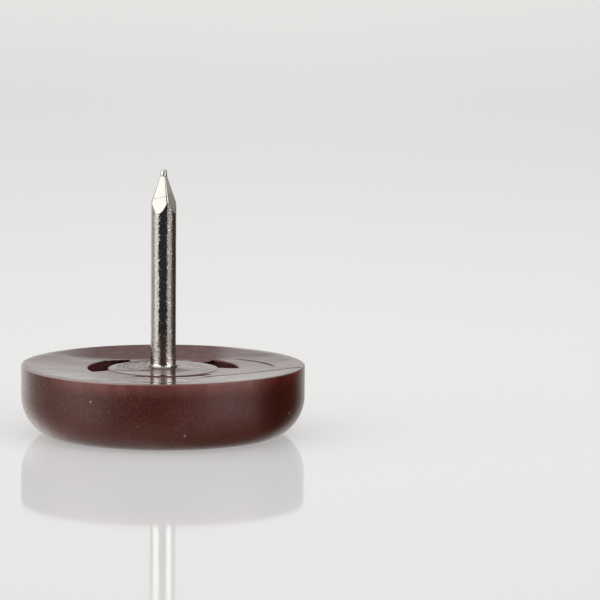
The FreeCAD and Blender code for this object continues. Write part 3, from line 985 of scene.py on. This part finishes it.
HIGH_BANDS = [
    (-180, 0.46), (-130, 0.50), (-100, 0.80), (-85, 1.45), (-30, 1.45), (-18, 0.12), (22, 0.12),
    (34, 1.70), (70, 1.70), (86, 0.12), (145, 0.12), (170, 0.46), (180, 0.46),
]
ZENITH_TONE = (1.0, 1.0, 1.0, 1)
WORLD_LEVEL = 1.05

# Degrees above the horizon between which each of these goes over into the next.
FAR_FLOOR_FADE = (-45, -25)
LOW_FADE = (-2, 5)
HIGH_FADE = (10, 18)
ZENITH_FADE = (35, 65)

# Tints of the surroundings: the light off the floor, the backdrop near the horizon and the sky above it, with
# the degrees between which they change, and the brown glide that stands to the right, with its directions.
FLOOR_TINT = (1.0, 0.96, 0.92, 1)
BACKDROP_TINT = (1.0, 0.99, 0.965, 1)
SKY_TINT = (1, 1, 1, 1)
BACKDROP_FADE = (-12, -2)
SKY_FADE = (14, 24)
GLIDE_TINT = (1.0, 0.64, 0.50, 1)
GLIDE_LEFT_FADE = (96, 104)
GLIDE_RIGHT_FADE = (154, 146)
GLIDE_TOP_FADE = (0, -5)


def make_world():
    """Soft studio surroundings: a pale backdrop and a large soft panel on each side."""
    world = bpy.data.worlds.new("studio")
    bpy.context.scene.world = world
    world.use_nodes = True
    nodes = Nodes(world.node_tree)
    parts = nodes.add("ShaderNodeSeparateXYZ", Vector=nodes.add("ShaderNodeTexCoord").outputs["Generated"])
    towards_viewer = nodes.product(parts.outputs[1], -1.0)
    bearing = nodes.math("ARCTAN2", parts.outputs[0], towards_viewer)
    share = nodes.math("ADD", nodes.math("DIVIDE", bearing, 2 * math.pi), 0.5)
    height = nodes.math("ARCSINE", parts.outputs[2])

    def bands(stops):
        """Brightness by direction round the object."""
        node = nodes.add("ShaderNodeValToRGB", Fac=share)
        elements = node.color_ramp.elements
        while len(elements) < len(stops):
            elements.new(0.5)
        for element, (degrees, _) in zip(elements, stops):
            element.position = degrees / 360 + 0.5
        for element, (_, level) in zip(elements, stops):
            element.color = (level, level, level, 1)
        return node.outputs[0]

    def turned(angle, fade):
        """Fade between two directions in degrees."""
        return nodes.between(angle, math.radians(fade[0]), math.radians(fade[1]))

    light = bands(NEAR_FLOOR_BANDS)
    for fade, stops in ((FAR_FLOOR_FADE, FAR_FLOOR_BANDS), (LOW_FADE, LOW_BANDS), (HIGH_FADE, HIGH_BANDS)):
        light = nodes.blend(turned(height, fade), light, bands(stops))
    light = nodes.blend(turned(height, ZENITH_FADE), light, ZENITH_TONE)
    tint = nodes.blend(turned(height, BACKDROP_FADE), FLOOR_TINT, BACKDROP_TINT)
    tint = nodes.blend(turned(height, SKY_FADE), tint, SKY_TINT)
    glide = nodes.product(turned(bearing, GLIDE_LEFT_FADE), turned(bearing, GLIDE_RIGHT_FADE),
                          turned(height, GLIDE_TOP_FADE))
    tint = nodes.blend(glide, tint, GLIDE_TINT)
    tinted = nodes.add("ShaderNodeMix", {"data_type": "RGBA", "blend_type": "MULTIPLY"}, i0=1.0,
                       i6=light, i7=tint)
    background = nodes.add("ShaderNodeBackground", Color=tinted.outputs[2], Strength=WORLD_LEVEL)
    nodes.add("ShaderNodeOutputWorld", Surface=background.outputs[0])


# The camera, as fitted to the photograph: its place in millimetres, how far it looks down and rolls in
# degrees, its lens and sensor in millimetres, and the nearest distance that it sees in metres.
CAMERA_PLACE = (11.545, -395.97, 62.82)
CAMERA_TILT = 7.395
CAMERA_ROLL = 0.38
CAMERA_LENS = 283.6
CAMERA_SENSOR = 36.0
CAMERA_NEAR = 0.01


def make_camera():
    """Camera at the photograph's viewing angle, level but for a slight roll."""
    tilt = math.radians(CAMERA_TILT)
    roll = math.radians(CAMERA_ROLL)
    forward = Vector((0.0, math.cos(tilt), -math.sin(tilt)))
    level = Vector((1.0, 0.0, 0.0))
    upright = level.cross(forward)
    right = level * math.cos(roll) + upright * math.sin(roll)
    up = upright * math.cos(roll) - level * math.sin(roll)
    data = bpy.data.cameras.new("camera")
    data.sensor_width = CAMERA_SENSOR
    data.lens = CAMERA_LENS
    data.clip_start = CAMERA_NEAR
    camera = bpy.data.objects.new("camera", data)
    axes = Matrix((right, up, -forward)).transposed()
    camera.matrix_world = Matrix.Translation(Vector(CAMERA_PLACE) * MM) @ axes.to_4x4()
    bpy.context.scene.collection.objects.link(camera)
    bpy.context.scene.camera = camera


def dress(piece, node, material):
    """Gives a piece its material and lets it stand for its CAD node."""
    piece.data.materials.append(material)
    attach(piece, "root")
    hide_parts(node)


make_camera()
dress(make_disc(), "glide_disc", make_plastic())
dress(make_nail(), "nail", make_steel())
make_floor()
make_world()
bpy.context.scene.view_settings.view_transform = "Standard"
